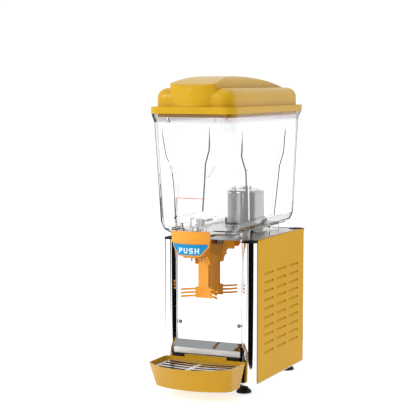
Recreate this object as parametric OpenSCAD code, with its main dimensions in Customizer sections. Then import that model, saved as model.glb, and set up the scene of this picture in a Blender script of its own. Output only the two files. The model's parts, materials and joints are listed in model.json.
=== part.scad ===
// Single-tank refrigerated juice dispenser.
// Millimetres, +Z up, front towards -Y. The origin is on the floor, at the centre of the footprint.

/* [Overall] */
// Height of the top of the lid above the floor
overall_h = 690; // [688:1:692]
// Depth from the front of the drip tray to the back of the lid
overall_d = 470.6; // [470:0.2:472]

/* [Stand] */
// Distance between the post centres, left to right
post_pitch_x = 184.6; // [184:0.2:185]
// Distance between the post centres, front to back
post_pitch_y = 283.2; // [283:0.2:284]
// Outside diameter of a post
post_d = 34.2; // [33.8:0.2:34.4]
// Height of the underside of the posts
post_base_z = 21.8; // [21.4:0.2:22.4]
// Height of the deck that carries the tank
deck_z = 334.8; // [334.4:0.2:335]
// Thickness of the sheet metal
sheet = 1; // [0.8:0.1:1.2]

/* [Tank] */
// Width of the tank at its rim
tank_top_w = 194.6; // [193:0.2:195]
// Width of the tank above its bottom rounding
tank_low_w = 181.6; // [180:0.2:182]
// Height of the underside of the tank
tank_base_z = 350; // [349:0.5:351]
// Wall of the tank
tank_wall = 3; // [2.5:0.5:3.5]

/* [Evaporator] */
// Diameter of the cooling drum
drum_d = 82; // [80:1:83]
// Height of the top of the cooling drum
drum_top_z = 429; // [426:1:430]

/* [Lid] */
// Width of the lid's flange
lid_w = 200.4; // [200:0.2:201]
// Width of the raised part of the lid
lid_step_w = 181.4; // [180:0.2:182]
// Width of the arched band along the middle of the lid
lid_band_w = 110; // [104:1:112]

/* [Tap] */
// Diameter of the bore that the valve piston runs in
bore_d = 20; // [19.6:0.2:20.2]
// Diameter of the cup that the lever's fingers fit
cup_d = 90; // [88:1:92]
// Width of the push cover
cover_w = 88; // [86:1:90]

/* [Drip tray] */
// Width of the tray at its rim
tray_w = 195; // [192:1:196]
// Height of the tray's rim
tray_rim_z = 75.8; // [74:0.2:77]

/* [Hidden] */
$fn = 48;
hull_fn = 32;
eps = 0.01;

// Stand
post_x = post_pitch_x / 2;
front_y = 156 - overall_d / 2;
rear_y = front_y + post_pitch_y;
post_r = post_d / 2;
post_wall = 1.5;
post_gap = 0.4;
cap_r = 18.5;
cap_t = 3.4;
cap_plug_h = 9;
panel_out = 110.6;
panel_top_z = 336;
panel_foot_z = 24.6;
panel_front_y = front_y + 3;
panel_rear_y = rear_y - 2;
flange_w = 11;
floor_z = 22;
floor_t = 1.5;
face_offset = 7.3;
face_y = front_y - face_offset;
back_y = rear_y + face_offset;
face_half_w = 76.4;
cap_z = deck_z - 2.2;
deck_t = 1.5;

// Louvres
louvre_cols = 3;
louvre_rows = 10;
louvre_len = 56;
louvre_h = 6;
louvre_depth = 3;
louvre_pitch_y = 75.8;
louvre_pitch_z = 19.3;
louvre_first_y = front_y + 66;
louvre_first_z = 85;

// Ledge below the front panel
ledge_top_z = 111.4;
ledge_front_z = 95.7;
ledge_front_y = face_y - 14.1;
ledge_half_w = 79;
apron_base_z = 83.2;

// Feet
foot_x = post_x - 18;
foot_inset_y = 12;
foot_r = 17;
foot_h = 17;
stud_r = 3;
nut_r = 4.8;

// Tank
tank_top_z = overall_h - 80;
tank_rim_z = tank_top_z - 18;
tank_round = 26;
tank_low_z = tank_base_z + tank_round;
tank_top_front = front_y - 91.2;
tank_top_rear = front_y + 290;
tank_low_front = front_y - 73.8;
tank_low_rear = front_y + 277.6;
tank_corner = 16;
tank_floor = 4;
bulge_front = front_y - 102;
bulge_top_z = tank_rim_z + 14;
drum_y = front_y + 195;
drum_r = drum_d / 2;
drum_wall = 1.2;
drum_hole_r = drum_r + 3.7;

// Tap
tap_y = front_y - 71.5;
bore_r = bore_d / 2;
spout_r = bore_r + 3;
spout_tip_z = 296;
pivot_y = front_y - 93;
pivot_z = 332;
pivot_r = 2.5;
lift_arm = tap_y - pivot_y;
lift_z = 332;
lift_r = 2.5;
cheek_in = 14.6;
cheek_t = 4;
cheek_out = cheek_in + cheek_t;
run_gap = 0.05;
cage_top_z = 389;
cage_r = bore_r + 3.4;
seat_z = tank_base_z + tank_floor;
neck_r = 7;
head_r = 10.9;
spring_base_z = seat_z + 5.05;
spring_top_z = cage_top_z - 2.05;

// Lever and push cover
arm_y = front_y - 35;
fork_r = cup_d / 2;
fork_y = front_y - 38 - fork_r;
fork_z = 223.4;
finger_pitch = 7.6;
finger_t = 4;
finger_half_angle = 64;
arm_top_z = 285;
cover_sag = 13.4;
cover_r = (pow(cover_w / 2, 2) + pow(cover_sag, 2)) / (2 * cover_sag);
cover_front = front_y - 117;
cover_axis_y = cover_front + cover_r;
cover_top_z = 363.6;
cover_band_z = 339;
cover_foot_z = 311;
band_step = 3;

// Lid
lid_base_z = tank_top_z + 0.5;
lid_step_z = lid_base_z + 14.6;
lid_shoulder_z = overall_h - 25.5;
lid_front = front_y - 108.8;
lid_rear = overall_d / 2;
lid_corner = 27;
lid_wall = 2.6;
step_front = front_y - 97;
step_rear = front_y + 301.5;
step_corner = 28;
step_round = 22;
band_front = lid_front + 2;
band_rear = front_y + 296;
band_top_y = front_y + 40;
band_front_r = 560;
band_rear_r = 1163;
band_bow_r = 108;
band_round = 14;
band_edge = 25;

// Drip tray
tray_base_z = 24;
tray_back = front_y - 26;
tray_wall = 2.6;
rim_corner_y = front_y - 110;
rim_sag = 46;
base_corner_y = front_y - 96;
base_sag = 26;
base_half_w = 90;
tray_rim_r = 13;
tray_base_r = 22;
grille_r = 16;
grille_z = 67;
grille_t = 1.5;
hook_x = 66;
hook_w = 18;
hook_t = 3;
hook_z = tray_rim_z - 6;

// Screws, rear panel and controls
screw_x = 70.8;
screw_z = 149.8;
rear_screw_x = 68;
rear_screw_zs = [60, 300];
vent_rows = 9;
vent_pitch = 14;
vent_first_z = 62;
switch_x = 28;
switch_z = 290;
rocker_y = back_y - 1.4;
rocker_pin_r = 1.2;
knob_z = 236;
gland_x = -52;
gland_z = 36;

// Machinery
comp_y = front_y + 72;
comp_r = 56;
cond_y = rear_y - 36;
fan_y = cond_y - 26;
fan_z = 118;
fan_r = 56;
motor_z = 322;
magnet_z = drum_top_z - 11;
shaft_r = 3;
coil_base_z = deck_z + 22;
coil_ring_r = drum_r - drum_wall - 3.4;
tube_y = cond_y + 15;
cond_low_z = 58;
cond_pitch = 30;
cond_high_z = cond_low_z + 4 * cond_pitch;
cond_end = 77;
drier_x = -85;
drier_y = cond_y + 4;
drier_z = 100;
drier_h = 60;

// ---------- shared shapes ----------

// Rectangle with round corners, centred on X
module round_rect(w, y0, y1, r) {
    translate([-w / 2 + r, y0]) square([w - 2 * r, y1 - y0]);
    translate([-w / 2, y0 + r]) square([w, y1 - y0 - 2 * r]);
    for (x = [-w / 2 + r, w / 2 - r], y = [y0 + r, y1 - r]) translate([x, y]) circle(r);
}

// Thin slice of a rounded rectangle, for tapered hulls
module slice(z, w, y0, y1, r) {
    translate([0, 0, z]) linear_extrude(eps) round_rect(w, y0, y1, r, $fn = hull_fn);
}

// Side profile, drawn as [y, z] points, given a width along X
module across(w) {
    translate([-w / 2, 0, 0]) rotate([90, 0, 90]) linear_extrude(w) children();
}

// Front outline, drawn as [x, z] points, run along Y from y0 to y1
module along(y0, y1) {
    translate([0, y1, 0]) rotate([90, 0, 0]) linear_extrude(y1 - y0) children();
}

// Bar with round ends
module slot_shape(len, h) {
    square([len - h, h], center = true);
    for (s = [-1, 1]) translate([s * (len - h) / 2, 0]) circle(h / 2);
}

// Round bar along X
module x_bar(r, w, y, z) {
    translate([-w / 2, y, z]) rotate([0, 90, 0]) cylinder(r = r, h = w);
}

// Round bar along Y
module y_bar(r, y0, y1, x, z) {
    translate([x, y0, z]) rotate([-90, 0, 0]) cylinder(r = r, h = y1 - y0);
}

// Pipe through a list of points, with slightly larger balls at its corners
module pipe(points, r) {
    ball = r + 0.3;
    $fn = 10;
    for (i = [0 : len(points) - 2]) {
        run = points[i + 1] - points[i];
        turn = atan2(run.y, run.x);
        tilt = acos(run.z / norm(run));
        translate(points[i]) rotate([0, tilt, turn]) cylinder(r = r, h = norm(run));
        translate(points[i]) sphere(ball);
    }
}

// ---------- stand ----------

module post(sx, y) {
    color("silver") translate([sx * post_x, y, post_base_z]) difference() {
        cylinder(r = post_r, h = cap_z - post_base_z);
        translate([0, 0, -1]) cylinder(r = post_r - post_wall, h = cap_z - post_base_z + 2);
    }
}

module at_posts() {
    for (x = [-post_x, post_x], y = [front_y, rear_y]) translate([x, y, 0]) children();
}

module at_feet() {
    for (x = [-foot_x, foot_x], y = [front_y + foot_inset_y, rear_y - foot_inset_y]) {
        translate([x, y, 0]) children();
    }
}

module post_caps() {
    color("black") at_posts() translate([0, 0, cap_z + eps]) {
        rotate_extrude() polygon([
            [0, 0], [cap_r, 0], [cap_r, cap_t - 1], [cap_r - 1, cap_t], [0, cap_t]
        ]);
        translate([0, 0, -cap_plug_h]) cylinder(r = post_r - post_wall - 0.1, h = cap_plug_h + eps);
    }
}

// Bell-shaped rubber foot around its stud
module feet() {
    color("black") at_feet() difference() {
        rotate_extrude() polygon([
            [0, 0], [foot_r - 1, 0], [foot_r, 1], [foot_r, 3], [foot_r - 2, 6],
            [foot_r - 6, 9], [foot_r - 8.5, 13], [foot_r - 9, foot_h], [0, foot_h]
        ]);
        translate([0, 0, 5]) cylinder(r = stud_r, h = foot_h);
    }
}

module foot_studs() {
    color("silver") at_feet() {
        translate([0, 0, 5]) cylinder(r = stud_r, h = 31);
        translate([0, 0, foot_h]) cylinder(r = nut_r, h = floor_z - foot_h, $fn = 6);
        translate([0, 0, floor_z + floor_t]) cylinder(r = nut_r, h = 5, $fn = 6);
    }
}

// Chassis floor with an upturned rib each side, notched round the posts
module base_pan() {
    pan_half = panel_out - sheet - 0.5;
    middle_half = 72;
    rib_x = 97;
    rib_h = 14;
    color("silver") difference() {
        union() {
            translate([-pan_half, front_y, floor_z]) cube([2 * pan_half, post_pitch_y, floor_t]);
            translate([-middle_half, face_y + 2, floor_z]) {
                cube([2 * middle_half, back_y - face_y - 4, floor_t]);
            }
            for (x = [-rib_x, rib_x - floor_t]) {
                translate([x, front_y + 22, floor_z]) cube([floor_t, post_pitch_y - 44, rib_h]);
            }
        }
        at_posts() cylinder(r = post_r + post_gap, h = 60);
        at_feet() cylinder(r = stud_r + post_gap, h = 60);
    }
}

// Square tubes that join the posts under the deck
module cross_rails() {
    rail = 12;
    rail_half = post_x - post_r - 0.2;
    color("gray") for (y = [front_y, rear_y]) {
        translate([-rail_half, y - rail / 2, cap_z - rail - 4]) difference() {
            cube([2 * rail_half, rail, rail]);
            translate([-1, 1.2, 1.2]) cube([2 * rail_half + 2, rail - 2.4, rail - 2.4]);
        }
    }
}

// Top plate under the tank
module deck() {
    deck_half = 108;
    color("silver") difference() {
        translate([-deck_half, face_y + sheet + 0.2, deck_z - deck_t]) {
            cube([2 * deck_half, back_y - face_y - 2 * sheet - 0.4, deck_t]);
        }
        at_posts() cylinder(r = cap_r + post_gap, h = 2 * deck_z);
        translate([0, drum_y, 0]) cylinder(r = 26, h = 2 * deck_z);
    }
}

// Mirror-finish sheet: upright face, sloped ledge and apron in one piece
module front_panel() {
    upright_half = face_half_w;
    color("white") difference() {
        union() {
            across(2 * upright_half) polygon([
                [face_y, panel_top_z], [face_y, ledge_top_z], [face_y - 4, ledge_top_z - 4.45],
                [face_y - 4, ledge_top_z - 6], [face_y + sheet, ledge_top_z - 1], [face_y + sheet, panel_top_z]
            ]);
            across(2 * ledge_half_w) polygon([
                [face_y - 4, ledge_top_z - 4.45], [ledge_front_y, ledge_front_z],
                [ledge_front_y, apron_base_z], [ledge_front_y + 7, apron_base_z],
                [ledge_front_y + 7, apron_base_z + sheet], [ledge_front_y + sheet, apron_base_z + sheet],
                [ledge_front_y + sheet, ledge_front_z - 1], [face_y - 4, ledge_top_z - 6]
            ]);
        }
        for (x = [-1, 1]) y_bar(2.2, face_y - 5, face_y + 5, x * screw_x, screw_z);
    }
}

// Button-head screw along Y, its head towards sy
module panel_screw(x, y, z, sy) {
    translate([x, y, z]) rotate([sy * 90, 0, 0]) {
        difference() {
            rotate_extrude() polygon([[0, 0], [4.4, 0], [4.2, 1.2], [3, 2.4], [0, 2.4]]);
            translate([0, 0, 1.2]) cylinder(r = 1.6, h = 2, $fn = 6);
        }
        translate([0, 0, -8]) cylinder(r = 2, h = 8 + eps);
    }
}

module panel_screws() {
    color("dimgray") for (s = [-1, 1]) panel_screw(s * screw_x, face_y, screw_z, 1);
}

module rear_screws() {
    color("dimgray") for (s = [-1, 1], z = rear_screw_zs) panel_screw(s * rear_screw_x, back_y, z, -1);
}

// Outline of one louvre's opening, and its inward tongue
module louvre_cut() {
    translate([-5, -louvre_len / 2, 0]) cube([10, louvre_len, louvre_h]);
}

module louvre_tongue() {
    rotate([90, 0, 0]) translate([0, 0, -louvre_len / 2]) linear_extrude(louvre_len) polygon([
        [0, 0], [-louvre_depth, louvre_h - 1], [-louvre_depth - sheet, louvre_h - 1], [-sheet, -0.6], [0, -0.6]
    ]);
}

// Right-hand side sheet: louvred face with folded top and bottom edges
module side_panel() {
    difference() {
        union() {
            translate([panel_out - sheet, panel_front_y, panel_foot_z]) {
                cube([sheet, panel_rear_y - panel_front_y, panel_top_z - panel_foot_z]);
            }
            for (z = [panel_foot_z, panel_top_z - sheet]) {
                translate([panel_out - flange_w, front_y + 20, z]) {
                    cube([flange_w, post_pitch_y - 40, sheet]);
                }
            }
        }
        at_louvres() louvre_cut();
    }
    at_louvres() louvre_tongue();
}

module at_louvres() {
    for (i = [0 : louvre_cols - 1], j = [0 : louvre_rows - 1]) {
        translate([
            panel_out,
            louvre_first_y + i * louvre_pitch_y,
            louvre_first_z + j * louvre_pitch_z - louvre_h / 2
        ]) children();
    }
}

module side_panel_right() {
    color("goldenrod") side_panel();
}

module side_panel_left() {
    color("goldenrod") mirror([1, 0, 0]) side_panel();
}

// Back sheet with vents, switch cutouts, knob hole and cord hole
module rear_panel() {
    color("silver") difference() {
        translate([-face_half_w, back_y - sheet, floor_z + 2]) {
            cube([2 * face_half_w, sheet, panel_top_z - floor_z - 2]);
        }
        for (x = [-30, 30], j = [0 : vent_rows - 1]) {
            translate([x, back_y, vent_first_z + j * vent_pitch]) rotate([90, 0, 0]) {
                linear_extrude(10, center = true) slot_shape(48, 5);
            }
        }
        for (s = [-1, 1]) {
            translate([s * switch_x - 8, back_y - 5, switch_z - 13]) cube([16, 10, 26]);
            for (z = rear_screw_zs) y_bar(2.2, back_y - 5, back_y + 5, s * rear_screw_x, z);
        }
        y_bar(3.4, back_y - 5, back_y + 5, 0, knob_z);
        y_bar(8, back_y - 5, back_y + 5, gland_x, gland_z);
    }
}

// Flanged bushing for the mains cord
module cord_gland() {
    color("black") difference() {
        union() {
            y_bar(7.8, back_y - 8, back_y + eps, gland_x, gland_z);
            y_bar(11, back_y, back_y + 3, gland_x, gland_z);
            y_bar(11, back_y - sheet - 3, back_y - sheet, gland_x, gland_z);
        }
        y_bar(4, back_y - 20, back_y + 20, gland_x, gland_z);
    }
}

// ---------- controls ----------

// Bezels with a deep pocket and a pin for each rocker
module switch_frames() {
    pocket_w = 12;
    color("black") for (s = [-1, 1]) translate([s * switch_x, 0, 0]) {
        difference() {
            union() {
                translate([-10, back_y, switch_z - 15]) cube([20, 2, 30]);
                translate([-7.8, back_y - 16, switch_z - 12.8]) cube([15.6, 16 + eps, 25.6]);
            }
            translate([-pocket_w / 2, back_y - 12, switch_z - 11]) cube([pocket_w, 20, 22]);
        }
        x_bar(rocker_pin_r, pocket_w + 1, rocker_y, switch_z);
    }
}

// Rocker that rests tilted about its pin
module rocker(x) {
    rest_tilt = -9;
    translate([x, 0, 0]) difference() {
        translate([0, rocker_y, switch_z]) rotate([rest_tilt, 0, 0]) across(11.4) polygon([
            [4.6, 9], [3.2, 0], [4.6, -9], [1.5, -9], [-3.5, -4], [-3.5, 4], [1.5, 9]
        ]);
        x_bar(rocker_pin_r + run_gap, 20, rocker_y, switch_z);
    }
}

module rocker_stir() {
    color("green") rocker(-switch_x);
}

module rocker_cool() {
    color("red") rocker(switch_x);
}

// Dial with a grip bar and a pointer; its shaft reaches into the thermostat
module thermostat_knob() {
    color("black") {
        y_bar(15, back_y + 1, back_y + 5, 0, knob_z);
        y_bar(12, back_y + 5 - eps, back_y + 9, 0, knob_z);
        translate([-2.5, back_y + 9 - eps, knob_z - 11]) cube([5, 5, 22]);
        y_bar(3, back_y - 12, back_y + 1 + eps, 0, knob_z);
    }
}

module thermostat_body() {
    color("gray") difference() {
        translate([-18, back_y - 34, knob_z - 16]) cube([36, 32, 32]);
        y_bar(3.05, back_y - 14, back_y, 0, knob_z);
    }
}

// Covered box under the deck for the wiring
module control_box() {
    box = [34, 90, 80];
    wall = 2;
    color("dimgray") translate([-98, front_y + 24, deck_z - deck_t - box.z]) difference() {
        cube(box);
        translate([wall, wall, wall]) cube(box - [2 * wall, 2 * wall, 2 * wall]);
    }
}

// ---------- cooling and drive ----------

// Closed steel drum that stands up through the tank floor
module evaporator() {
    drum_h = drum_top_z - deck_z;
    edge = 4;
    color("silver") translate([0, drum_y, deck_z + eps]) difference() {
        union() {
            rotate_extrude() difference() {
                union() {
                    square([drum_r, drum_h - edge]);
                    square([drum_r - edge, drum_h]);
                    translate([drum_r - edge, drum_h - edge]) circle(edge);
                }
                translate([0, -1]) square([drum_r - drum_wall, drum_h - edge]);
                translate([0, drum_h - edge - 1.5]) square([drum_r - edge - 1, edge]);
                translate([-20, -60]) square([20, 200]);
            }
            cylinder(r = drum_r + 9, h = 2);
            translate([0, 0, drum_h - eps]) cylinder(r = 3, h = 9);
        }
        translate([0, 0, -1]) cylinder(r = 27, h = 4);
    }
}

// Cooling tube rings inside the drum, joined by two headers
module evaporator_coil() {
    coil_r = 3;
    rings = 6;
    pitch = 8;
    color("peru") translate([0, drum_y, coil_base_z]) {
        for (i = [0 : rings - 1]) translate([0, 0, i * pitch]) {
            rotate_extrude() translate([coil_ring_r, 0]) circle(coil_r);
        }
        for (s = [-1, 1]) translate([s * coil_ring_r, 0, 0]) cylinder(r = 2.4, h = (rings - 1) * pitch);
    }
}

// Seal between the drum and the tank floor
module evaporator_gasket() {
    color("dimgray") translate([0, drum_y, tank_base_z - 4]) rotate_extrude() polygon([
        [drum_r + 0.05, 0], [drum_r + 8, 0], [drum_r + 8, 3.6], [drum_hole_r - 0.4, 3.6],
        [drum_hole_r - 0.4, 9], [drum_r + 0.05, 10]
    ]);
}

module drive_shaft() {
    color("silver") translate([0, drum_y, motor_z]) cylinder(r = shaft_r, h = magnet_z + 7 - motor_z);
}

// Disc of magnets close under the drum's top
module drive_magnet() {
    color("dimgray") translate([0, drum_y, magnet_z]) difference() {
        cylinder(r = 26, h = 8);
        translate([0, 0, -1]) cylinder(r = shaft_r, h = 10);
    }
}

// Geared motor hung from the deck
module agitator_motor() {
    box = [64, 52, 40];
    top = motor_z - 6;
    color("gray") translate([0, drum_y, 0]) {
        difference() {
            translate([-box.x / 2, -box.y / 2, top - box.z]) cube(box);
            translate([-20, -box.y / 2 - 1, top - box.z + 6]) cube([40, 12, 28]);
        }
        difference() {
            translate([0, 0, top - 1]) cylinder(r = 15, h = 14);
            translate([0, 0, motor_z - 2]) cylinder(r = shaft_r + run_gap, h = 20);
        }
        for (x = [-26, 26], y = [-20, 20]) {
            translate([x, y, top - 1]) cylinder(r = 4, h = deck_z - deck_t - top + 1);
        }
    }
}

// Low clear stirrer that turns on the drum's stub
module impeller() {
    color("lightcyan", 0.5) translate([0, drum_y, drum_top_z + 0.8]) difference() {
        union() {
            cylinder(r = 30, h = 2.2);
            cylinder(r = 12, h = 10);
            for (a = [0 : 90 : 270]) rotate(a) translate([10, -1.2, 0]) cube([27, 2.4, 8]);
        }
        translate([0, 0, -1]) cylinder(r = 3.05, h = 9.6);
        translate([0, 0, 2.6]) difference() {
            cylinder(r = 10.5, h = 5);
            translate([0, 0, -1]) cylinder(r = 5, h = 7);
        }
    }
}

module impeller_magnet() {
    color("dimgray") translate([0, drum_y, drum_top_z + 3.4]) difference() {
        cylinder(r = 10.4, h = 4.9);
        translate([0, 0, -1]) cylinder(r = 5.1, h = 7);
    }
}

module compressor() {
    color("black") translate([0, comp_y, floor_z + floor_t]) {
        translate([0, 0, 10]) rotate_extrude() polygon([
            [0, 0], [34, 0], [48, 8], [comp_r, 24], [comp_r, 62], [comp_r + 3, 63],
            [comp_r + 3, 67], [comp_r, 68], [comp_r, 110], [46, 130], [26, 138], [0, 140]
        ]);
        for (a = [45 : 90 : 315]) rotate(a) translate([0, -11, 12]) cube([72, 22, 3]);
    }
}

module compressor_mounts() {
    color("dimgray") translate([0, comp_y, floor_z + floor_t]) for (a = [45 : 90 : 315]) {
        rotate(a) translate([63, 0, 0]) cylinder(r = 7, h = 12);
    }
}

// Finned block with a tube that snakes up through it
module condenser() {
    fins = 14;
    tube_r = 4;
    bar = 62;
    bend_r = cond_pitch / 2;
    stub_x = (cond_end + bar - 1) / 2;
    color("darkgray") for (i = [0 : fins - 1]) {
        translate([-66 + i * 10, cond_y, 44]) cube([1.2, 30, 150]);
    }
    color("peru") {
        for (j = [0 : 4]) x_bar(tube_r, 2 * bar, tube_y, cond_low_z + j * cond_pitch);
        for (j = [0 : 3]) mirror([j % 2, 0, 0]) {
            translate([bar, tube_y, cond_low_z + (j + 0.5) * cond_pitch]) rotate([90, 0, 0]) {
                rotate(-90) rotate_extrude(angle = 180) translate([bend_r, 0]) circle(tube_r);
            }
        }
        translate([-stub_x, 0, 0]) x_bar(tube_r, cond_end - bar + 1, tube_y, cond_low_z);
        translate([stub_x, 0, 0]) x_bar(tube_r, cond_end - bar + 1, tube_y, cond_high_z);
    }
}

// Sheet frame that guides the fan's air through the condenser
module fan_shroud() {
    color("silver") difference() {
        translate([-72, cond_y - 12, 42]) cube([144, 11, 154]);
        translate([-70, cond_y - 10.8, 44]) cube([140, 20, 150]);
        y_bar(fan_r + 4, cond_y - 20, cond_y, 0, fan_z);
    }
}

module fan_motor() {
    color("dimgray") {
        y_bar(24, fan_y - 32, fan_y - 4, 0, fan_z);
        y_bar(2.45, fan_y - 5, fan_y + 4.5, 0, fan_z);
        translate([-4, fan_y - 26, floor_z + floor_t]) cube([8, 16, fan_z - 24 - floor_z]);
        translate([-20, fan_y - 30, floor_z + floor_t]) cube([40, 24, 2]);
    }
}

// Five pitched blades on a short hub
module fan_blade() {
    pitch_angle = 28;
    color("gray") {
        difference() {
            y_bar(13, fan_y - 3, fan_y + 9, 0, fan_z);
            y_bar(2.5, fan_y - 10, fan_y + 5, 0, fan_z);
        }
        for (a = [0 : 72 : 288]) translate([0, fan_y + 3, fan_z]) rotate([0, a, 0]) {
            translate([12, 0, 0]) rotate([pitch_angle, 0, 0]) translate([0, -0.8, -11]) {
                cube([fan_r - 14, 1.6, 22]);
            }
        }
    }
}

// Tubes from the compressor through the condenser and drier to the coil, and back
module refrigerant_lines() {
    comp_top = floor_z + floor_t + 143;
    hot_x = 84;
    hot_z = comp_top + 30;
    return_z = 230;
    riser_z = motor_z + 1;
    color("peru") {
        pipe([[30, comp_y, comp_top], [30, comp_y, hot_z], [hot_x, comp_y, hot_z],
            [hot_x, tube_y, hot_z], [hot_x, tube_y, cond_high_z + 4], [cond_end - 1, tube_y, cond_high_z]], 3);
        pipe([[1 - cond_end, tube_y, cond_low_z], [drier_x, drier_y, cond_low_z],
            [drier_x, drier_y, drier_z + 1]], 3);
        pipe([[drier_x, drier_y, drier_z + drier_h - 1], [drier_x, drier_y, 262], [-20, drum_y + 38, 262],
            [-20, drum_y + 38, riser_z], [-14, drum_y + 16, riser_z + 2],
            [-14, drum_y + 16, coil_base_z], [-coil_ring_r + 2, drum_y, coil_base_z]], 2);
        pipe([[coil_ring_r - 2, drum_y, coil_base_z + 40], [14, drum_y + 16, coil_base_z + 40],
            [14, drum_y + 16, riser_z + 2], [20, drum_y + 38, riser_z], [20, drum_y + 38, return_z],
            [-30, comp_y + 20, return_z], [-30, comp_y, 200], [-30, comp_y, comp_top]], 3);
    }
}

module filter_drier() {
    color("peru") translate([drier_x, drier_y, drier_z]) cylinder(r = 7, h = drier_h);
}

// ---------- tank ----------

// Tapered tank with rounded bottom edges, moved inwards by t; its floor stands t_floor higher
module tank_body(t, t_floor, top) {
    inset = tank_round - t;
    z0 = tank_base_z + t_floor;
    hull() {
        for (step = [[0, 0.9], [0.12, 0.52], [0.4, 0.2], [1, 0]]) {
            s = t + inset * step[1];
            slice(z0 + inset * step[0], tank_low_w - 2 * s, tank_low_front + s, tank_low_rear - s, tank_corner);
        }
        slice(top, tank_top_w - 2 * t, tank_top_front + t, tank_top_rear - t, tank_corner);
    }
}

// Flared rim under the lid, moved inwards by t
module rim_flare(t) {
    hull() {
        slice(tank_rim_z, tank_top_w - 2 * t, tank_top_front + t, tank_top_rear - t, tank_corner);
        slice(tank_top_z - eps, lid_w - 1 - 2 * t, lid_front + 0.5 + t, lid_rear - 0.5 - t, lid_corner);
    }
}

// Front bulge with a bottle outline, moved inwards by t
module bulge(t, t_floor) {
    front = bulge_front + t;
    back = tank_low_front + 24;
    low = tank_base_z + t_floor;
    intersection() {
        along(front - 1, back) polygon([
            [-57 + t, bulge_top_z], [-51 + t, 501], [-40.5 + t, 479], [-36.5 + t, 446], [-36 + t, low],
            [36 - t, low], [36.5 - t, 446], [40.5 - t, 479], [51 - t, 501], [57 - t, bulge_top_z]
        ]);
        across(120) polygon([
            [back, low], [front + 12, low], [front + 5, low + 2.5], [front + 1.5, low + 7.5],
            [front, low + 15], [front, bulge_top_z], [back, bulge_top_z]
        ]);
    }
}

// Bottle-shaped recess in the right wall that fades out towards the rim, grown by t
module side_recess(t) {
    mid = front_y + 79;
    deep = tank_low_w / 2 - 4.5 - t;
    intersection() {
        translate([deep - 5, 0, 0]) rotate([90, 0, 90]) linear_extrude(30) polygon([
            [mid - 126 - t, 590], [mid - 118 - t, 520], [mid - 92 - t, 488], [mid - 84 - t, 450],
            [mid - 78 - t, 380 - t], [mid + 68 + t, 380 - t], [mid + 84 + t, 450], [mid + 91 + t, 488],
            [mid + 114 + t, 520], [mid + 124 + t, 590]
        ]);
        along(tank_low_front - 40, tank_low_rear) polygon([
            [deep, 340], [deep + 1, 450], [deep + 3.4, 520], [tank_top_w / 2 - t, 584],
            [tank_top_w / 2 + 20, 584], [tank_top_w / 2 + 20, 340]
        ]);
    }
}

module recesses(t) {
    side_recess(t);
    mirror([1, 0, 0]) side_recess(t);
}

// Clear ribs that stand the tank on the deck and the front post caps
module support_ribs() {
    rib_x = 82;
    rib_top_z = tank_base_z + 10;
    cap_top_z = cap_z + cap_t + 0.05;
    for (s = [-1, 1]) {
        translate([s * rib_x - 2, front_y - 24, cap_top_z]) cube([4, 46, rib_top_z - cap_top_z]);
        translate([s * rib_x - 2, front_y + 140, deck_z + 0.1]) cube([4, 50, rib_top_z - deck_z - 0.1]);
        translate([s * rib_x - 14, front_y + 14, cap_top_z]) cube([28, 3, 16]);
    }
}

// Block in front of the spout that carries the lever's pivot pin
module pivot_boss() {
    boss_half = 13.4;
    boss_base_z = pivot_z - 6;
    translate([-boss_half, pivot_y - 4.5, boss_base_z]) {
        cube([2 * boss_half, lift_arm, tank_base_z + 3 - boss_base_z]);
    }
}

// Upright window through the spout's sides for the lift pin
module pin_window() {
    translate([-20, tap_y - 3.7, lift_z - 3.4]) cube([40, 7.4, 12]);
}

module tank() {
    color("lightcyan", 0.4) difference() {
        union() {
            difference() {
                union() {
                    difference() {
                        union() {
                            tank_body(0, 0, tank_rim_z + 2);
                            bulge(0, 0);
                        }
                        recesses(0);
                    }
                    rim_flare(0);
                }
                difference() {
                    union() {
                        tank_body(tank_wall, tank_floor, tank_rim_z + 2);
                        bulge(tank_wall, tank_floor);
                    }
                    recesses(tank_wall);
                }
                translate([0, 0, eps]) rim_flare(tank_wall);
            }
            translate([0, tap_y, spout_tip_z]) cylinder(r = spout_r, h = tank_base_z + 2 - spout_tip_z);
            pivot_boss();
            support_ribs();
            translate([0, drum_y, tank_base_z]) cylinder(r = drum_hole_r + 3, h = 16);
        }
        tank_body(tank_wall + 6, tank_floor + 14, tank_rim_z);
        translate([0, tap_y, spout_tip_z - 1]) cylinder(r = bore_r, h = 70);
        translate([0, drum_y, tank_base_z - 20]) cylinder(r = drum_hole_r, h = 60);
        x_bar(pivot_r, 60, pivot_y, pivot_z);
        pin_window();
    }
}

// Thin printed fill line across the front bulge
module level_line() {
    color("crimson") translate([-32, bulge_front - 0.3, 432]) cube([64, 0.3, 1.6]);
}

// Windowed cage over the bore that holds the spring down
module valve_cage() {
    cage_base = tank_base_z + tank_floor;
    color("lightcyan", 0.5) translate([0, tap_y, 0]) difference() {
        translate([0, 0, cage_base]) cylinder(r = cage_r, h = cage_top_z - cage_base);
        translate([0, 0, cage_base - 1]) cylinder(r = cage_r - 2, h = cage_top_z - cage_base - 1);
        for (a = [0, 90]) rotate(a) translate([-20, -5, cage_base + 2]) cube([40, 10, 14]);
    }
}

// Piston: sealing head, grooved guide below it and a slot for the lift pin
module valve_piston() {
    foot_z = 318;
    slot_h = 2 * lift_r + 0.3;
    color("white") translate([0, tap_y, 0]) difference() {
        union() {
            translate([0, 0, foot_z]) cylinder(r = bore_r - run_gap, h = seat_z - foot_z);
            translate([0, 0, seat_z - 1]) cylinder(r = neck_r, h = 4);
            translate([0, 0, seat_z + 2]) cylinder(r = head_r, h = 3);
            translate([0, 0, seat_z + 4]) cylinder(r = 5, h = 6);
        }
        for (a = [45 : 90 : 315]) rotate(a) translate([bore_r, 0, foot_z - 1]) {
            cylinder(r = 4, h = seat_z - foot_z + 1);
        }
        translate([-20, -4.4, lift_z - slot_h / 2]) cube([40, 8.8, slot_h]);
    }
}

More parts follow.
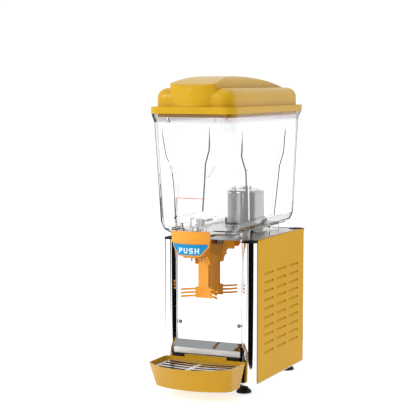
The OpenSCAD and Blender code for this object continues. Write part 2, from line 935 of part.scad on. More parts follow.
// Flat ring under the piston's head that closes the bore
module valve_seal() {
    color("black") translate([0, tap_y, seat_z + 0.05]) difference() {
        cylinder(r = head_r, h = 1.95);
        translate([0, 0, -1]) cylinder(r = neck_r, h = 4);
    }
}

// Coil spring between the piston and the top of the cage
module valve_spring() {
    coil_r = 7.6;
    wire_r = 0.7;
    turns = 6;
    rings = turns * 14;
    sides = 8;
    rise = spring_top_z - spring_base_z - 2 * wire_r;
    points = [
        for (i = [0 : rings], j = [0 : sides - 1])
            let (a = 360 * turns * i / rings, b = 360 * j / sides, r = coil_r + wire_r * cos(b))
                [r * cos(a), r * sin(a), rise * i / rings + wire_r * sin(b)]
    ];
    walls = [
        for (i = [0 : rings - 1], j = [0 : sides - 1])
            let (k = (j + 1) % sides)
                [i * sides + j, i * sides + k, (i + 1) * sides + k, (i + 1) * sides + j]
    ];
    ends = [
        [for (j = [sides - 1 : -1 : 0]) j],
        [for (j = [0 : sides - 1]) rings * sides + j]
    ];
    color("silver") translate([0, tap_y, spring_base_z + wire_r]) {
        polyhedron(points, concat(walls, ends));
    }
}

// Headed pin through the lever's cheeks and the boss
module pivot_pin() {
    head_x = cheek_out + 0.4;
    color("silver") {
        x_bar(pivot_r - run_gap, 2 * head_x, pivot_y, pivot_z);
        for (s = [-1, 1]) translate([s * (head_x + 0.6), 0, 0]) x_bar(4, 1.2, pivot_y, pivot_z);
    }
}

module lift_pin() {
    color("silver") x_bar(lift_r, 2 * cheek_out, tap_y, lift_z);
}

// ---------- lever and push cover ----------

// Part of a ring about the cup's axis, half_angle each side of the back
module cup_arc(r0, r1, half_angle, z, h) {
    translate([0, fork_y, z]) rotate(90 - half_angle) rotate_extrude(angle = 2 * half_angle) {
        translate([r0, 0]) square([r1 - r0, h]);
    }
}

// Clear orange lever: two cheeks round the spout, an arm and a three-finger cup fork
module lever() {
    top_z = pivot_z + 13;
    front = cover_front + 8.45;
    foot = cover_foot_z - 5.5;
    web_y = cover_front + 18;
    color("darkorange") difference() {
        union() {
            for (s = [-1, 1]) translate([s * (cheek_in + cheek_t / 2), 0, 0]) across(cheek_t) polygon([
                [front, cover_foot_z + 2], [front, top_z], [pivot_y + 5, top_z],
                [tap_y + 9, pivot_z + 6.5], [arm_y - 10, pivot_z - 9], [arm_y + 4, pivot_z - 31],
                [arm_y + 4, arm_top_z], [arm_y - 7, arm_top_z], [arm_y - 13, arm_top_z + 10],
                [arm_y - 22, pivot_z - 27], [arm_y - 35, foot + 6], [pivot_y - 3, foot], [web_y, foot]
            ]);
            across(2 * cheek_out) polygon([
                [arm_y + 4, arm_top_z], [arm_y + 4, pivot_z - 31], [arm_y - 10, pivot_z - 9],
                [arm_y - 13, pivot_z - 11.5], [arm_y, pivot_z - 33], [arm_y, arm_top_z]
            ]);
            translate([-cheek_out, web_y, foot]) cube([2 * cheek_out, 3, 16]);
            along(arm_y - 4, arm_y + 4) polygon([
                [-12, fork_z + 10], [12, fork_z + 10], [12, arm_top_z], [cheek_out, arm_top_z + 16],
                [-cheek_out, arm_top_z + 16], [-12, arm_top_z]
            ]);
            cup_arc(fork_r + 0.4, fork_r + 5, 23, fork_z - 12, 24);
            for (k = [-1 : 1]) {
                finger_z = fork_z + k * finger_pitch - finger_t / 2;
                cup_arc(fork_r, fork_r + 3.6, finger_half_angle, finger_z, finger_t);
            }
        }
        x_bar(pivot_r, 60, pivot_y, pivot_z);
        x_bar(lift_r, 60, tap_y, lift_z);
        translate([-cheek_in, web_y + 3, foot + 16]) cube([2 * cheek_in, arm_y - web_y - 10, 40]);
    }
}

// Curved sheet about the cover's axis between two radii, cut to an outline
module cover_sheet(r0, r1) {
    intersection() {
        translate([0, cover_axis_y, cover_foot_z - 10]) difference() {
            cylinder(r = r1, h = 80);
            translate([0, 0, -1]) cylinder(r = r0, h = 82);
        }
        along(cover_front - 5, cover_front + 30) children();
    }
}

// Outline of the plate below the band, moved inwards by t
module plate_outline(t) {
    polygon([
        [-42 + t, cover_band_z - t], [42 - t, cover_band_z - t], [42 - t, cover_band_z - 7 - t * 0.4],
        [26 - t * 0.6, cover_foot_z + t], [-26 + t * 0.6, cover_foot_z + t],
        [-42 + t, cover_band_z - 7 - t * 0.4]
    ]);
}

module push_cover() {
    half = cover_w / 2;
    color("orange") {
        cover_sheet(cover_r - 4, cover_r) polygon([
            [-half, cover_band_z], [half, cover_band_z], [half, cover_top_z - 3], [half - 3, cover_top_z],
            [-half + 3, cover_top_z], [-half, cover_top_z - 3]
        ]);
        cover_sheet(cover_r - band_step - 3, cover_r - band_step) {
            plate_outline(0);
            translate([-half + 2, cover_band_z - eps]) square([cover_w - 4, 4]);
        }
        intersection() {
            cover_sheet(cover_r - 14, cover_r - 3.9) {
                translate([-half, cover_top_z - 2.4]) square([cover_w, 2.4]);
            }
            translate([-half, cover_front, cover_foot_z]) cube([cover_w, 12.4, 60]);
        }
    }
}

module push_label() {
    color("dodgerblue") cover_sheet(cover_r - band_step, cover_r - band_step + 0.6) {
        plate_outline(2.6);
    }
}

// ---------- lettering: plain strokes, s thick, on a body w wide and 8 high ----------

module ring_half(r, s, side) {
    intersection() {
        difference() {
            circle(r);
            circle(r - s);
        }
        translate([side > 0 ? 0 : -r, -r]) square([r, 2 * r]);
    }
}

module letter_p(w, s) {
    bowl = 2.4;
    square([s, 8]);
    for (y = [8 - s, 8 - 2 * bowl]) translate([0, y]) square([w - bowl, s]);
    translate([w - bowl, 8 - bowl]) ring_half(bowl, s, 1);
}

module letter_u(w, s) {
    r = w / 2;
    for (x = [0, w - s]) translate([x, r]) square([s, 8 - r]);
    translate([r, r]) rotate(-90) ring_half(r, s, 1);
}

module letter_s(w, s) {
    r = (8 + s) / 4;
    for (y = [8 - s, 4 - s / 2, 0]) translate([r, y]) square([w - 2 * r, s]);
    translate([r, 8 - r]) ring_half(r, s, -1);
    translate([w - r, r]) ring_half(r, s, 1);
    translate([w - r, 8 - s]) square([r * 0.8, s]);
    translate([r * 0.2, 0]) square([r * 0.8, s]);
}

module letter_h(w, s) {
    for (x = [0, w - s]) translate([x, 0]) square([s, 8]);
    translate([0, 4 - s / 2]) square([w, s]);
}

module label_letters() {
    w = 6.4;
    stroke = 1.75;
    size = 1.45;
    pitch = 12.6;
    color("white") cover_sheet(cover_r - band_step + 0.6, cover_r - band_step + 0.9) {
        for (i = [0 : 3]) translate([(i - 1.5) * pitch - size * w / 2, cover_foot_z + 6]) scale(size) {
            if (i == 0) letter_p(w, stroke);
            if (i == 1) letter_u(w, stroke);
            if (i == 2) letter_s(w, stroke);
            if (i == 3) letter_h(w, stroke);
        }
    }
}

// ---------- drip tray ----------

// Half-width hw, straight sides from y_back to y_corner, then an arc that bulges forward by sag
module tray_outline(hw, y_back, y_corner, sag, r) {
    arc_r = (hw * hw + sag * sag) / (2 * sag);
    arc_y = y_corner - sag + arc_r;
    half = asin(hw / arc_r);
    steps = 16;
    offset(r) offset(-r) polygon(concat(
        [[-hw, y_back]],
        [for (i = [0 : steps]) let (a = half * (2 * i / steps - 1)) [arc_r * sin(a), arc_y - arc_r * cos(a)]],
        [[hw, y_back]]
    ));
}

module tray_solid(t, t_floor) {
    hull() {
        translate([0, 0, tray_base_z + t_floor]) linear_extrude(eps) {
            tray_outline(base_half_w - t, tray_back - t - 4, base_corner_y + t, base_sag, tray_base_r - t);
        }
        translate([0, 0, tray_rim_z - eps]) linear_extrude(eps) {
            tray_outline(tray_w / 2 - t, tray_back - t, rim_corner_y + t, rim_sag, tray_rim_r - t);
        }
    }
}

// Open tray with a grille ledge, a raised back edge and two tongues that hook into the bracket
module drip_tray() {
    color("orange") {
        difference() {
            tray_solid(0, 0);
            translate([0, 0, 2 * eps]) tray_solid(tray_wall, tray_wall);
        }
        intersection() {
            translate([0, 0, grille_z - 2.2]) linear_extrude(2) difference() {
                tray_outline(tray_w / 2, tray_back, rim_corner_y, rim_sag, tray_rim_r);
                tray_outline(tray_w / 2 - 7.5, tray_back - 8, rim_corner_y + 9, rim_sag - 5, grille_r);
            }
            tray_solid(1, 0);
        }
        translate([-50, tray_back - tray_wall, tray_rim_z - 2]) cube([100, tray_wall, 8.5]);
        for (s = [-1, 1]) translate([s * hook_x - hook_w / 2, tray_back - 2, hook_z]) {
            cube([hook_w, 10, hook_t]);
        }
    }
}

// Outline of the grille's two columns of arced slots
module grille_slots() {
    bar_r = 260;
    slot_w = 11;
    slot_pitch = 19.5;
    for (k = [0 : 3]) intersection() {
        translate([0, front_y - 122 + slot_pitch * k + bar_r]) difference() {
            circle(bar_r, $fn = 180);
            circle(bar_r - slot_w, $fn = 180);
        }
        tray_outline(tray_w / 2 - 14, tray_back - 10, rim_corner_y + 14, rim_sag - 5, grille_r);
        for (s = [-1, 1]) translate([s * 42 - 36, rim_corner_y - rim_sag]) square([72, 150]);
    }
}

// Steel grille that drops into the tray
module drip_grille() {
    color("silver") translate([0, 0, grille_z]) linear_extrude(grille_t) difference() {
        tray_outline(tray_w / 2 - 4.8, tray_back - 4, rim_corner_y + 6, rim_sag - 4, grille_r);
        grille_slots();
    }
}

// Dark plate behind the tray, folded back onto the chassis floor, with slots for the tongues
module tray_bracket() {
    plate_y = tray_back + 1.5;
    plate_t = 1.5;
    base_z = floor_z + floor_t;
    color("black") difference() {
        union() {
            translate([-ledge_half_w, plate_y, base_z]) {
                cube([2 * ledge_half_w, plate_t, apron_base_z - base_z - 0.2]);
            }
            translate([-70, plate_y, base_z]) cube([140, front_y + 1 - plate_y, plate_t]);
        }
        for (s = [-1, 1]) translate([s * hook_x - hook_w / 2 - 1, plate_y - 1, hook_z - 0.1]) {
            cube([hook_w + 2, plate_t + 2, hook_t + 1]);
        }
    }
}

// ---------- lid ----------

// Right half of an arch whose top is at the origin: a circle of radius big out to x = a, its
// corner rounded by r, and straight sides down to depth
module arch_half(a, depth, big, r) {
    round_x = a - r;
    round_y = sqrt(pow(big - r, 2) - round_x * round_x) - big;
    intersection() {
        translate([0, -big]) circle(big);
        translate([-eps, -depth]) square([round_x * big / (big - r) + eps, depth + 1]);
    }
    translate([round_x, round_y]) circle(r);
    translate([-eps, -depth]) square([a + eps, depth + round_y]);
}

// Arched band: side profile, front profile and plan cut together
module lid_band(t) {
    half = lid_band_w / 2 - t;
    top = overall_h - t;
    edge = band_edge - t;
    base = lid_base_z + 2;
    front = band_front + t;
    rear = band_rear - t;
    depth = top - base;
    intersection() {
        across(lid_band_w + 10) translate([band_top_y, top]) {
            mirror([1, 0]) arch_half(band_top_y - front, depth, band_front_r - t, band_round - t);
            arch_half(rear - band_top_y, depth, band_rear_r - t, band_round - t);
        }
        along(front - 1, rear + 1) {
            translate([-half, base - 1]) square([2 * half, top - edge - base + 1]);
            translate([-half + edge, base - 1]) square([2 * (half - edge), top - base + 1]);
            for (s = [-1, 1]) translate([s * (half - edge), top - edge]) circle(edge);
        }
        translate([0, front, base - 1]) linear_extrude(depth + 2) rotate(180) for (s = [0, 1]) {
            mirror([s, 0]) arch_half(half + 0.2, rear - front + 2, band_bow_r - t, band_round - t);
        }
    }
}

// Profile with its two top corners rounded
module round_top(a, b, low, high, r) {
    translate([a, low]) square([b - a, high - r - low]);
    translate([a + r, low]) square([b - a - 2 * r, high - low]);
    for (x = [a + r, b - r]) translate([x, high - r]) circle(r);
}

// Raised part of the lid: straight runs with rounded top edges and a turned shape at each corner
module lid_step(t) {
    half = lid_step_w / 2 - t;
    low = lid_base_z + 2;
    high = lid_shoulder_z - t;
    front = step_front + t;
    rear = step_rear - t;
    corner = step_corner - t;
    edge = step_round - t;
    across(2 * (half - corner)) round_top(front, rear, low, high, edge);
    along(front + corner, rear - corner) round_top(-half, half, low, high, edge);
    for (x = [corner - half, half - corner], y = [front + corner, rear - corner]) {
        translate([x, y, low]) rotate_extrude() intersection() {
            round_top(-corner, corner, 0, high - low, edge);
            square([corner, high - low]);
        }
    }
}

module lid() {
    color("goldenrod") difference() {
        union() {
            translate([0, 0, lid_base_z]) linear_extrude(lid_step_z - lid_base_z) {
                round_rect(lid_w, lid_front, lid_rear, lid_corner);
            }
            lid_step(0);
            lid_band(0);
            translate([0, 0, lid_base_z - 7]) linear_extrude(8) {
                round_rect(tank_top_w - 8, tank_top_front + 4, tank_top_rear - 4, tank_corner);
            }
        }
        translate([0, 0, lid_base_z - 8]) linear_extrude(12) {
            round_rect(tank_top_w - 14, tank_top_front + 7, tank_top_rear - 7, tank_corner);
        }
        lid_step(lid_wall);
        lid_band(lid_wall);
    }
}

// ---------- parts ----------

module post_front_left() post(-1, front_y);
module post_front_right() post(1, front_y);
module post_rear_left() post(-1, rear_y);
module post_rear_right() post(1, rear_y);

base_pan();
post_front_left();
post_front_right();
post_rear_left();
post_rear_right();
post_caps();
feet();
foot_studs();
front_panel();
panel_screws();
side_panel_left();
side_panel_right();
rear_panel();
rear_screws();
deck();
cross_rails();
tray_bracket();
evaporator();
evaporator_coil();
evaporator_gasket();
drive_shaft();
drive_magnet();
agitator_motor();
impeller();
impeller_magnet();
compressor();
compressor_mounts();
condenser();
fan_shroud();
fan_motor();
fan_blade();
refrigerant_lines();
filter_drier();
control_box();
thermostat_body();
thermostat_knob();
switch_frames();
rocker_stir();
rocker_cool();
cord_gland();
tank();
level_line();
valve_cage();
valve_piston();
valve_seal();
valve_spring();
pivot_pin();
lift_pin();
lever();
push_cover();
push_label();
label_letters();
drip_tray();
drip_grille();
lid();
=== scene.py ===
# Single-tank drink dispenser: materials, valve spring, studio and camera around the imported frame.
import json
import math

import bpy
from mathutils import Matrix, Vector


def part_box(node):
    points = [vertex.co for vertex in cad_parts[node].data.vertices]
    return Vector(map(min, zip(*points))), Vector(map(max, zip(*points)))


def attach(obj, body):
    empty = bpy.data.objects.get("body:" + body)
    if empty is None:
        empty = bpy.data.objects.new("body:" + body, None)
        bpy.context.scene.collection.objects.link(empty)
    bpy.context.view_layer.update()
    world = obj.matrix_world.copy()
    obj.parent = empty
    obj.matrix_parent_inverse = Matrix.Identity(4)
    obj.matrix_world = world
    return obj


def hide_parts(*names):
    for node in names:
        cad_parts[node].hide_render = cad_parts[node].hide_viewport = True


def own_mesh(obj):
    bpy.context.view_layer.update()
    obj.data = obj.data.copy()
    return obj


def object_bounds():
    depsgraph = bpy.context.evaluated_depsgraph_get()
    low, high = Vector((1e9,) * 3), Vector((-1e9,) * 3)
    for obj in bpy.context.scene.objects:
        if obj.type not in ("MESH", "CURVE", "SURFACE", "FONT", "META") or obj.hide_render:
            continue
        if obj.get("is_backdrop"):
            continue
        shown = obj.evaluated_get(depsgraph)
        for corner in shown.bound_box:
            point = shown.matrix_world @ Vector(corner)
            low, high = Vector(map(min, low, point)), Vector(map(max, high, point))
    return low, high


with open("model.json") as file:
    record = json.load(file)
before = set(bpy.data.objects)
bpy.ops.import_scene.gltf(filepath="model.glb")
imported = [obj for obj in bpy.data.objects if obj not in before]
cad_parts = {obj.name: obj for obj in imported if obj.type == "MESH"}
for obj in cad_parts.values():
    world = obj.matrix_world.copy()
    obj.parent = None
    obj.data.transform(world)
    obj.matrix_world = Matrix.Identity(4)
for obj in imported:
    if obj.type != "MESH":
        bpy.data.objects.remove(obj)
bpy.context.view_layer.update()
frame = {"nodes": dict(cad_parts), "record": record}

NODES = frame["nodes"]

NOISE_SPREAD = (0.3, 0.7)  # nearly all values of the noise lie between these
COLOR_DRIFT = 0.04  # share by which a moulded colour drifts either way
GRAIN_DEPTH = 0.0002  # metres, height of a moulded grain at full strength
BRUSH_DEPTH = 0.0001  # metres, height of brushed lines at full strength
CLEAR_IOR = 1.3
CLEAR_SHADE_START = 0.72  # facing value from which clear plastic's colour deepens towards its painted edge shade

# ---------- materials ----------


def shader_of(mat):
    return mat.node_tree.nodes["Principled BSDF"]


def new_material(name, **inputs):
    """A Principled material with its plain values set on the shader's own sockets."""
    mat = bpy.data.materials.new(name)
    mat.use_nodes = True
    shader = shader_of(mat)
    for key, value in inputs.items():
        shader.inputs[key.replace("_", " ")].default_value = value
    return mat


def add_node(mat, kind, **settings):
    """A node whose settings are its own properties or, failing that, its inputs."""
    node = mat.node_tree.nodes.new(kind)
    for key, value in settings.items():
        if hasattr(node, key):
            setattr(node, key, value)
        else:
            node.inputs[key.replace("_", " ")].default_value = value
    return node


def link(mat, out_socket, in_socket):
    mat.node_tree.links.new(out_socket, in_socket)


def noise(mat, scale, detail=3.0, roughness=0.5, stretch=(1, 1, 1)):
    """Noise in object space, in metres, stretched along the axes."""
    coords = add_node(mat, "ShaderNodeTexCoord")
    place = add_node(mat, "ShaderNodeMapping", Scale=stretch)
    tex = add_node(mat, "ShaderNodeTexNoise", Scale=scale, Detail=detail, Roughness=roughness)
    link(mat, coords.outputs["Object"], place.inputs["Vector"])
    link(mat, place.outputs["Vector"], tex.inputs["Vector"])
    return tex.outputs["Fac"]


def vary_color(mat, fac, color, change):
    """Base colour that runs from darker to lighter with fac."""
    ramp = add_node(mat, "ShaderNodeMapRange")
    ramp.inputs["From Min"].default_value, ramp.inputs["From Max"].default_value = NOISE_SPREAD
    mix = add_node(mat, "ShaderNodeMix", data_type="RGBA")
    mix.inputs[6].default_value = [c * (1 - change) for c in color[:3]] + [1]
    mix.inputs[7].default_value = [min(1, c * (1 + change)) for c in color[:3]] + [1]
    link(mat, fac, ramp.inputs["Value"])
    link(mat, ramp.outputs["Result"], mix.inputs[0])
    link(mat, mix.outputs[2], shader_of(mat).inputs["Base Color"])


def vary_roughness(mat, fac, low, high):
    """Roughness that runs from low to high with fac."""
    ramp = add_node(mat, "ShaderNodeMapRange")
    ramp.inputs["To Min"].default_value = low
    ramp.inputs["To Max"].default_value = high
    link(mat, fac, ramp.inputs["Value"])
    link(mat, ramp.outputs["Result"], shader_of(mat).inputs["Roughness"])


def bump(mat, fac, strength, distance):
    """Raises the surface's shading with fac, by distance in metres at full strength."""
    node = add_node(mat, "ShaderNodeBump", Strength=strength, Distance=distance)
    link(mat, fac, node.inputs["Height"])
    link(mat, node.outputs["Normal"], shader_of(mat).inputs["Normal"])


def plastic(name, color, roughness, grain=0.0, **inputs):
    """Moulded plastic: slow colour drift, a little uneven gloss and an optional fine grain."""
    mat = new_material(name, Base_Color=(*color, 1), Roughness=roughness, **inputs)
    vary_color(mat, noise(mat, 9, 2), color, COLOR_DRIFT)
    vary_roughness(mat, noise(mat, 40, 4), max(0.02, roughness - 0.06), roughness + 0.08)
    if grain:
        bump(mat, noise(mat, 1400, 2), grain, GRAIN_DEPTH)
    return mat


def shade_edges(mat, face, edge_shade, start):
    """Base colour that deepens where the surface turns away: painted shade for the darkening that
    thick clear plastic shows at its edges.
    """
    weight = add_node(mat, "ShaderNodeLayerWeight", Blend=0.5)
    ramp = add_node(mat, "ShaderNodeMapRange")
    ramp.inputs["From Min"].default_value = start
    mix = add_node(mat, "ShaderNodeMix", data_type="RGBA")
    mix.inputs[6].default_value = (*face, 1)
    mix.inputs[7].default_value = (*edge_shade, 1)
    link(mat, weight.outputs["Facing"], ramp.inputs["Value"])
    link(mat, ramp.outputs["Result"], mix.inputs[0])
    link(mat, mix.outputs[2], shader_of(mat).inputs["Base Color"])


def range_of(mat, socket, low, high):
    """0 to 1 while the value runs from low to high."""
    ramp = add_node(mat, "ShaderNodeMapRange", interpolation_type="SMOOTHSTEP")
    ramp.inputs["From Min"].default_value = low
    ramp.inputs["From Max"].default_value = high
    link(mat, socket, ramp.inputs["Value"])
    return ramp.outputs["Result"]


def tint(mat, fac, color):
    """Mixes the base colour towards another one by fac."""
    base = shader_of(mat).inputs["Base Color"]
    before = base.links[0].from_socket
    mix = add_node(mat, "ShaderNodeMix", data_type="RGBA")
    mix.inputs[7].default_value = (*color, 1)
    link(mat, before, mix.inputs[6])
    link(mat, fac, mix.inputs[0])
    link(mat, mix.outputs[2], base)


def math_node(mat, operation, *values):
    """The result of one sum over one or two linked values."""
    node = add_node(mat, "ShaderNodeMath", operation=operation)
    for value, socket in zip(values, node.inputs):
        link(mat, value, socket)
    return node.outputs[0]


def surface_parts(mat):
    """The X, Y and Z outputs of the surface's normal and of its place, in the object's frame."""
    coords = add_node(mat, "ShaderNodeTexCoord")
    normal = add_node(mat, "ShaderNodeSeparateXYZ")
    place = add_node(mat, "ShaderNodeSeparateXYZ")
    link(mat, coords.outputs["Normal"], normal.inputs[0])
    link(mat, coords.outputs["Object"], place.inputs[0])
    return normal.outputs, place.outputs


def tank_plastic():
    """Clear moulded tank with painted shade: bent edges darken as they turn away, rounded corners
    are painted a little grey, and the flared rim is painted greyer.
    """
    # the second colour is painted edge shade
    mat = clear_plastic("tank_clear", (0.985, 0.988, 0.99), (0.3, 0.31, 0.33), 0.01)
    rim_start, rim_end = 0.588, 0.598
    normal, place = surface_parts(mat)
    corner = math_node(mat, "MULTIPLY", normal["X"], normal["Y"])
    bend = math_node(mat, "ABSOLUTE", corner)
    weight = add_node(mat, "ShaderNodeLayerWeight", Blend=0.5)
    away = range_of(mat, weight.outputs["Facing"], 0.3, 0.68)
    edge_shade = math_node(mat, "MULTIPLY", range_of(mat, bend, 0.1, 0.3), away)
    # painted grey shade on the rounded corners
    tint(mat, range_of(mat, bend, 0.1, 0.5), (0.93, 0.935, 0.94))
    # painted grey shade on the flared rim band
    tint(mat, range_of(mat, place["Z"], rim_start, rim_end), (0.78, 0.74, 0.76))
    # painted dark shade along the bent edges that turn away
    tint(mat, edge_shade, (0.015, 0.017, 0.02))
    return mat


def clear_plastic(name, face, edge_shade, roughness):
    """Clear moulded plastic with a painted shade that deepens its colour where its surface turns
    away.
    """
    mat = new_material(
        name, Base_Color=(*face, 1), Roughness=roughness, IOR=CLEAR_IOR, Transmission_Weight=1.0
    )
    # painted shade: the colour darkens towards the edge_shade colour where the surface turns from
    # view
    shade_edges(mat, face, edge_shade, CLEAR_SHADE_START)
    return mat


def metal(name, color, roughness, brushed=None, grain=0.0):
    """Bare metal; brushed gives the directions across which its lines are stretched."""
    mat = new_material(name, Base_Color=(*color, 1), Metallic=1.0, Roughness=roughness)
    if brushed:
        lines = noise(mat, 900, 2, 0.6, brushed)
        vary_roughness(mat, lines, roughness * 0.7, roughness * 1.5)
        bump(mat, lines, grain, BRUSH_DEPTH)
    else:
        vary_roughness(mat, noise(mat, 25, 4), roughness * 0.75, roughness * 1.4)
    return mat


def paint(name, color, roughness, peel=0.1):
    """Sprayed enamel with a faint orange peel."""
    mat = new_material(
        name, Base_Color=(*color, 1), Roughness=roughness, Specular_IOR_Level=0.12
    )
    vary_color(mat, noise(mat, 5, 2), color, 0.03)
    bump(mat, noise(mat, 420, 2), peel, GRAIN_DEPTH)
    return mat


def lever_plastic():
    """Clear orange plastic, bright on its faces, with a painted amber shade that deepens at its
    edges.
    """
    mat = new_material("lever_orange", Roughness=0.1, IOR=1.3, Transmission_Weight=0.15)
    # the deep amber edge colour is painted shade
    shade_edges(mat, (0.95, 0.4, 0.05), (0.36, 0.09, 0.002), 0.35)
    return mat


def panel_steel():
    """Mirror-polished panel whose folded ledge is plainer, rougher sheet, and whose upward-facing
    surfaces carry a painted grey shade.
    """
    mat = new_material("mirror_steel", Metallic=1.0)
    lip_top, lip_start = 0.0975, 0.0955
    normal, place = surface_parts(mat)
    # painted shade: surfaces that face upwards take a darker grey
    upward_shade = range_of(mat, normal["Z"], 0.3, 0.5)
    mix = add_node(mat, "ShaderNodeMix", data_type="RGBA")
    mix.inputs[6].default_value = (0.9, 0.91, 0.92, 1)
    mix.inputs[7].default_value = (0.3, 0.31, 0.31, 1)
    link(mat, upward_shade, mix.inputs[0])
    link(mat, mix.outputs[2], shader_of(mat).inputs["Base Color"])
    vary_roughness(mat, range_of(mat, place["Z"], lip_top, lip_start), 0.035, 0.4)
    return mat


YELLOW_LID = (0.6, 0.345, 0.004)
YELLOW_PANEL = (0.65, 0.345, 0.0)
ORANGE = (0.54, 0.285, 0.003)

MATERIALS = {
    "chrome": metal("chrome_tube", (0.87, 0.88, 0.9), 0.06),
    "cap_black": plastic("cap_black", (0.006, 0.006, 0.007), 0.6, 0.2, Specular_IOR_Level=0.05),
    "foot_rubber": plastic("foot_rubber", (0.008, 0.008, 0.008), 0.5, 0.5, Specular_IOR_Level=0.3),
    "bright_steel": metal("bright_steel", (0.75, 0.76, 0.78), 0.18),
    "screw_steel": metal("screw_steel", (0.25, 0.25, 0.26), 0.3),
    "mirror_steel": panel_steel(),
    "panel_yellow": paint("panel_yellow", YELLOW_PANEL, 0.42),
    "sheet_steel": metal("sheet_steel", (0.62, 0.63, 0.64), 0.32, (1, 0.02, 1), 0.15),
    "rail_grey": paint("rail_grey", (0.12, 0.12, 0.125), 0.5),
    "bracket_black": paint("bracket_black", (0.015, 0.015, 0.016), 0.45),
    # the drum's darker colour is painted shade for the dark reflections it shows inside the tank
    "drum_steel": metal("drum_steel", (0.4, 0.39, 0.38), 0.16, (0.02, 0.02, 1), 0.03),
    "copper": metal("copper", (0.72, 0.34, 0.2), 0.25),
    "gasket_rubber": plastic("gasket_rubber", (0.05, 0.05, 0.055), 0.55, 0.3),
    "magnet_dark": metal("magnet_dark", (0.08, 0.08, 0.085), 0.5),
    "motor_grey": paint("motor_grey", (0.12, 0.13, 0.14), 0.5),
    # the second colour is painted edge shade
    "stirrer_clear": clear_plastic("stirrer_clear", (0.96, 0.97, 0.98), (0.7, 0.72, 0.74), 0.06),
    "compressor_black": paint("compressor_black", (0.012, 0.012, 0.013), 0.3, 0.4),
    "condenser_aluminium": metal("condenser_aluminium", (0.6, 0.61, 0.62), 0.38),
    "fan_grey": plastic("fan_grey", (0.06, 0.06, 0.065), 0.5, 0.3),
    "control_grey": plastic("control_grey", (0.09, 0.1, 0.11), 0.5, 0.3),
    "knob_black": plastic("knob_black", (0.02, 0.02, 0.021), 0.4, 0.4),
    "rocker_green": plastic("rocker_green", (0.01, 0.28, 0.05), 0.25),
    "rocker_red": plastic("rocker_red", (0.55, 0.015, 0.01), 0.25),
    "tank_clear": tank_plastic(),
    "line_red": plastic("line_red", (0.75, 0.12, 0.14), 0.45),
    "valve_white": plastic("valve_white", (0.8, 0.8, 0.79), 0.4, 0.1),
    "seal_black": plastic("seal_black", (0.03, 0.03, 0.03), 0.5, 0.2),
    "lever_orange": lever_plastic(),
    "cover_orange": plastic("cover_orange", (0.86, 0.35, 0.03), 0.25, Specular_IOR_Level=0.35),
    "label_blue": plastic("label_blue", (0.004, 0.27, 0.56), 0.35, Specular_IOR_Level=0.2),
    "letter_white": plastic("letter_white", (0.8, 0.88, 0.93), 0.4, Specular_IOR_Level=0.2),
    "tray_yellow": plastic("tray_yellow", ORANGE, 0.28, 0.1, Specular_IOR_Level=0.3),
    "grille_steel": metal("grille_steel", (0.7, 0.71, 0.72), 0.2),
    "lid_yellow": plastic("lid_yellow", YELLOW_LID, 0.28, 0.15, Specular_IOR_Level=0.3),
}

for part in frame["record"]["subparts"]:
    mesh = NODES[part["node"]].data
    mesh.materials.clear()
    mesh.materials.append(MATERIALS[part["material_slot"]])

# ---------- the valve's spring ----------


def return_spring():
    """The spring over the valve piston, as its own copy of the part, carried with the tank."""
    node = NODES["valve_spring"]
    spring = bpy.data.objects.new("return_spring", node.data.copy())
    spring.matrix_world = node.matrix_world
    bpy.context.scene.collection.objects.link(spring)
    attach(spring, "tank")
    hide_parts("valve_spring")
    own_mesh(spring)


return_spring()

# ---------- studio ----------


def flat_card(name, verts, material):
    """One flat face with the given corners."""
    mesh = bpy.data.meshes.new(name)
    mesh.from_pydata(verts, [], [tuple(range(len(verts)))])
    mesh.materials.append(material)
    mesh.validate()
    obj = bpy.data.objects.new(name, mesh)
    bpy.context.scene.collection.objects.link(obj)
    return obj


def area_light(name, place, target, size, power):
    """A rectangular light of size in metres and power in watts, turned to the target."""
    data = bpy.data.lights.new(name, "AREA")
    data.shape = "RECTANGLE"
    data.size, data.size_y = size
    data.energy = power
    lamp = bpy.data.objects.new(name, data)
    lamp.location = place
    lamp.rotation_euler = (Vector(target) - Vector(place)).to_track_quat("-Z", "Y").to_euler()
    bpy.context.scene.collection.objects.link(lamp)


def dark_card(name, verts):
    """A dark flag that only reflections see, as the black cards beside a photographer's table.
    It is clear to any ray that has met no glossy surface yet."""
    material = new_material(name, Base_Color=(0.002, 0.002, 0.002, 1), Roughness=1.0)
    nodes, links = material.node_tree.nodes, material.node_tree.links
    nodes["Principled BSDF"].inputs["Specular IOR Level"].default_value = 0
    rays = nodes.new("ShaderNodeLightPath")
    clear = nodes.new("ShaderNodeBsdfTransparent")
    mix = nodes.new("ShaderNodeMixShader")
    links.new(rays.outputs["Glossy Depth"], mix.inputs[0])
    links.new(clear.outputs[0], mix.inputs[1])
    links.new(nodes["Principled BSDF"].outputs[0], mix.inputs[2])
    links.new(mix.outputs[0], nodes["Material Output"].inputs["Surface"])
    card = flat_card(name, verts, material)
    card.visible_camera = False
    card.visible_diffuse = False
    card.visible_shadow = False
    card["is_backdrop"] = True


def around(x, y, azimuth, distance, z):
    """The point at a distance from (x, y) towards an azimuth, from the front to the right."""
    angle = math.radians(azimuth)
    return Vector((x + math.sin(angle) * distance, y - math.cos(angle) * distance, z))


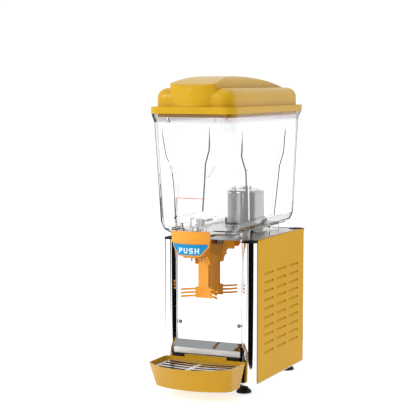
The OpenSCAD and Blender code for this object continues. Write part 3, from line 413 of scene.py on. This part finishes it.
def white_floor():
    reach = 14.0
    corners = [(-reach, -reach, 0), (reach, -reach, 0), (reach, reach, 0), (-reach, reach, 0)]
    white = new_material(
        "floor_white", Base_Color=(0.62, 0.62, 0.62, 1), Roughness=0.8, Emission_Strength=0.7
    )
    shader_of(white).inputs["Emission Color"].default_value = (1, 1, 1, 1)
    shader_of(white).inputs["Specular IOR Level"].default_value = 0
    flat_card("floor", corners, white)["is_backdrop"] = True


def white_world():
    """White all round, weaker as diffuse light so that the shading keeps some contrast."""
    seen, diffuse = 1.04, 0.7
    world = bpy.data.worlds.new("studio")
    world.use_nodes = True
    nodes, links = world.node_tree.nodes, world.node_tree.links
    nodes["Background"].inputs["Color"].default_value = (1, 1, 1, 1)
    rays = nodes.new("ShaderNodeLightPath")
    level = nodes.new("ShaderNodeMapRange")
    level.inputs["To Min"].default_value = seen
    level.inputs["To Max"].default_value = diffuse
    links.new(rays.outputs["Is Diffuse Ray"], level.inputs["Value"])
    links.new(level.outputs["Result"], nodes["Background"].inputs["Strength"])
    bpy.context.scene.world = world


def dark_flags():
    """Flags on the floor, and upright ones in front, that put dark stripes in the chrome.
    The front pair leaves a gap straight ahead, so that the mirror panel stays white from there."""
    far, height = 3.6, 3.0
    above_floor = 0.0015
    set_out = 0.06
    front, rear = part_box("front_panel"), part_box("rear_panel")
    front_y, rear_y = front[0][1] - set_out, rear[1][1] + set_out
    flags = (
        # name, x at its first and last edge, y, facing, first and last azimuth from there, near end
        ("front_left", front[1][0], front[0][0], front_y, 0, -20, -3, 0.6),
        ("front_right", front[1][0], front[1][0], front_y, 0, 3, 84, 0.3),
        ("rear_right", rear[1][0], rear[1][0], rear_y, 180, -20, -3, 0.3),
        ("rear_left", rear[0][0], rear[0][0], rear_y, 180, 3, 84, 0.3),
    )
    for name, first_x, last_x, y, facing, first, last, near in flags:
        middle_x, middle_turn = (first_x + last_x) / 2, (first + last) / 2
        corners = (
            (first_x, first, near), (first_x, first, far), (middle_x, middle_turn, far),
            (last_x, last, far), (last_x, last, near),
        )
        dark_card("flag_floor_" + name, [
            around(x, y, facing + turn, length, above_floor) for x, turn, length in corners
        ])
        if facing == 0:
            dark_card("flag_" + name, [
                around(x, y, turn, far, z) for x, turn, z in (
                    (first_x, first, 0), (last_x, last, 0),
                    (last_x, last, height), (first_x, first, height),
                )
            ])


def studio():
    low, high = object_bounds()
    middle = (low + high) / 2
    white_floor()
    white_world()
    area_light("key", (-1.9, -2.3, 1.9), middle, (0.9, 1.3), 40)
    area_light("top", (0.3, 0.2, 3.0), middle, (1.6, 1.6), 10)
    dark_flags()


def camera():
    """At the photograph's viewing angle: 24.5 degrees round to the right and 5.5 degrees up."""
    eye = Vector((1.2029, -2.7229, 0.6771))
    aim = Vector((-0.41281, 0.90583, -0.09515))
    data = bpy.data.cameras.new("camera")
    data.sensor_width = 36
    data.lens = 114.74
    cam = bpy.data.objects.new("camera", data)
    cam.location = eye
    cam.rotation_euler = aim.to_track_quat("-Z", "Y").to_euler()
    bpy.context.scene.collection.objects.link(cam)
    bpy.context.scene.camera = cam


studio()
camera()
bpy.context.scene.view_settings.view_transform = "Standard"
